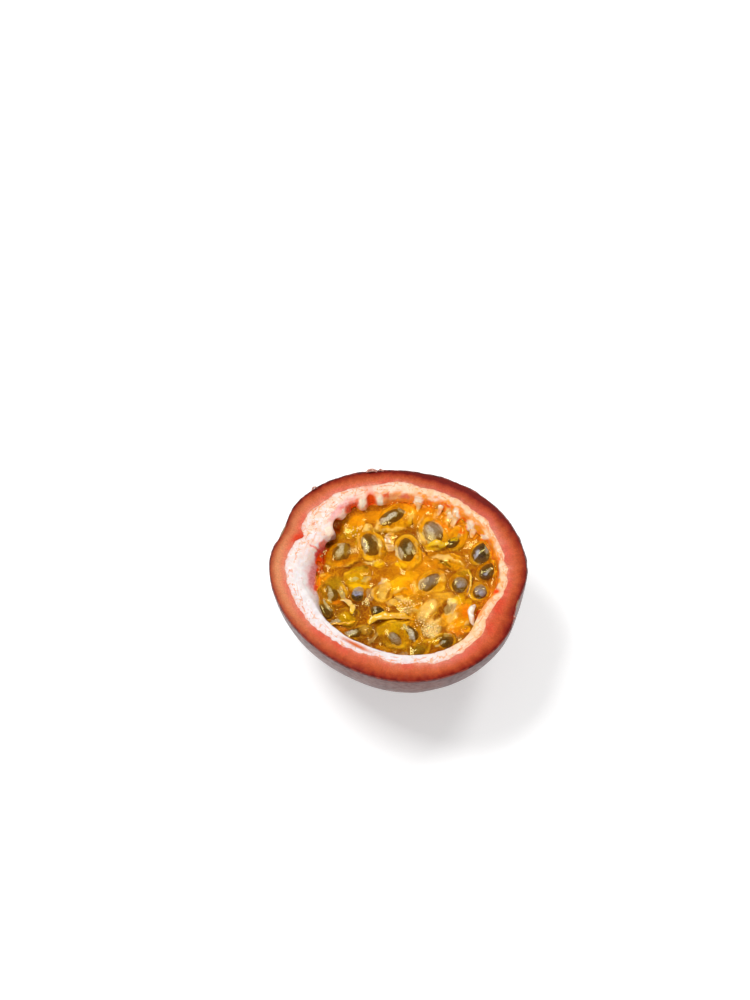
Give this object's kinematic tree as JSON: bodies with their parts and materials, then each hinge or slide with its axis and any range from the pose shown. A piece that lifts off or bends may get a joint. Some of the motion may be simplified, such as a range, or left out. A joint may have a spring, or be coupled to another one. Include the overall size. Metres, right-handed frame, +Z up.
{
  "type": "passion fruit half",
  "caption": "Oval purple-skinned fruit half cut lengthwise, lying cut face up: red wall, white pith with fingers, and a heap of glossy juice sacs with dark seeds.",
  "frame": {"origin": "middle of the small flat spot on the round underside that the half rests on", "axes": "+Z up, out of the cut face; +X along the fruit's long axis, towards its blossom end"},
  "size_m": [0.0579, 0.0529, 0.026],
  "materials": {
    "shell": "waxy purple skin over a matt salmon red wall",
    "pith": "moist spongy white",
    "pulp": "wet orange juice and pulp",
    "sac": "clear wet amber gel",
    "seed": "dark pitted seed coat"
  },
  "bodies": {
    "root": {"shell": "shell", "pith": "pith", "pulp": "pulp"}
  },
  "joints": []
}
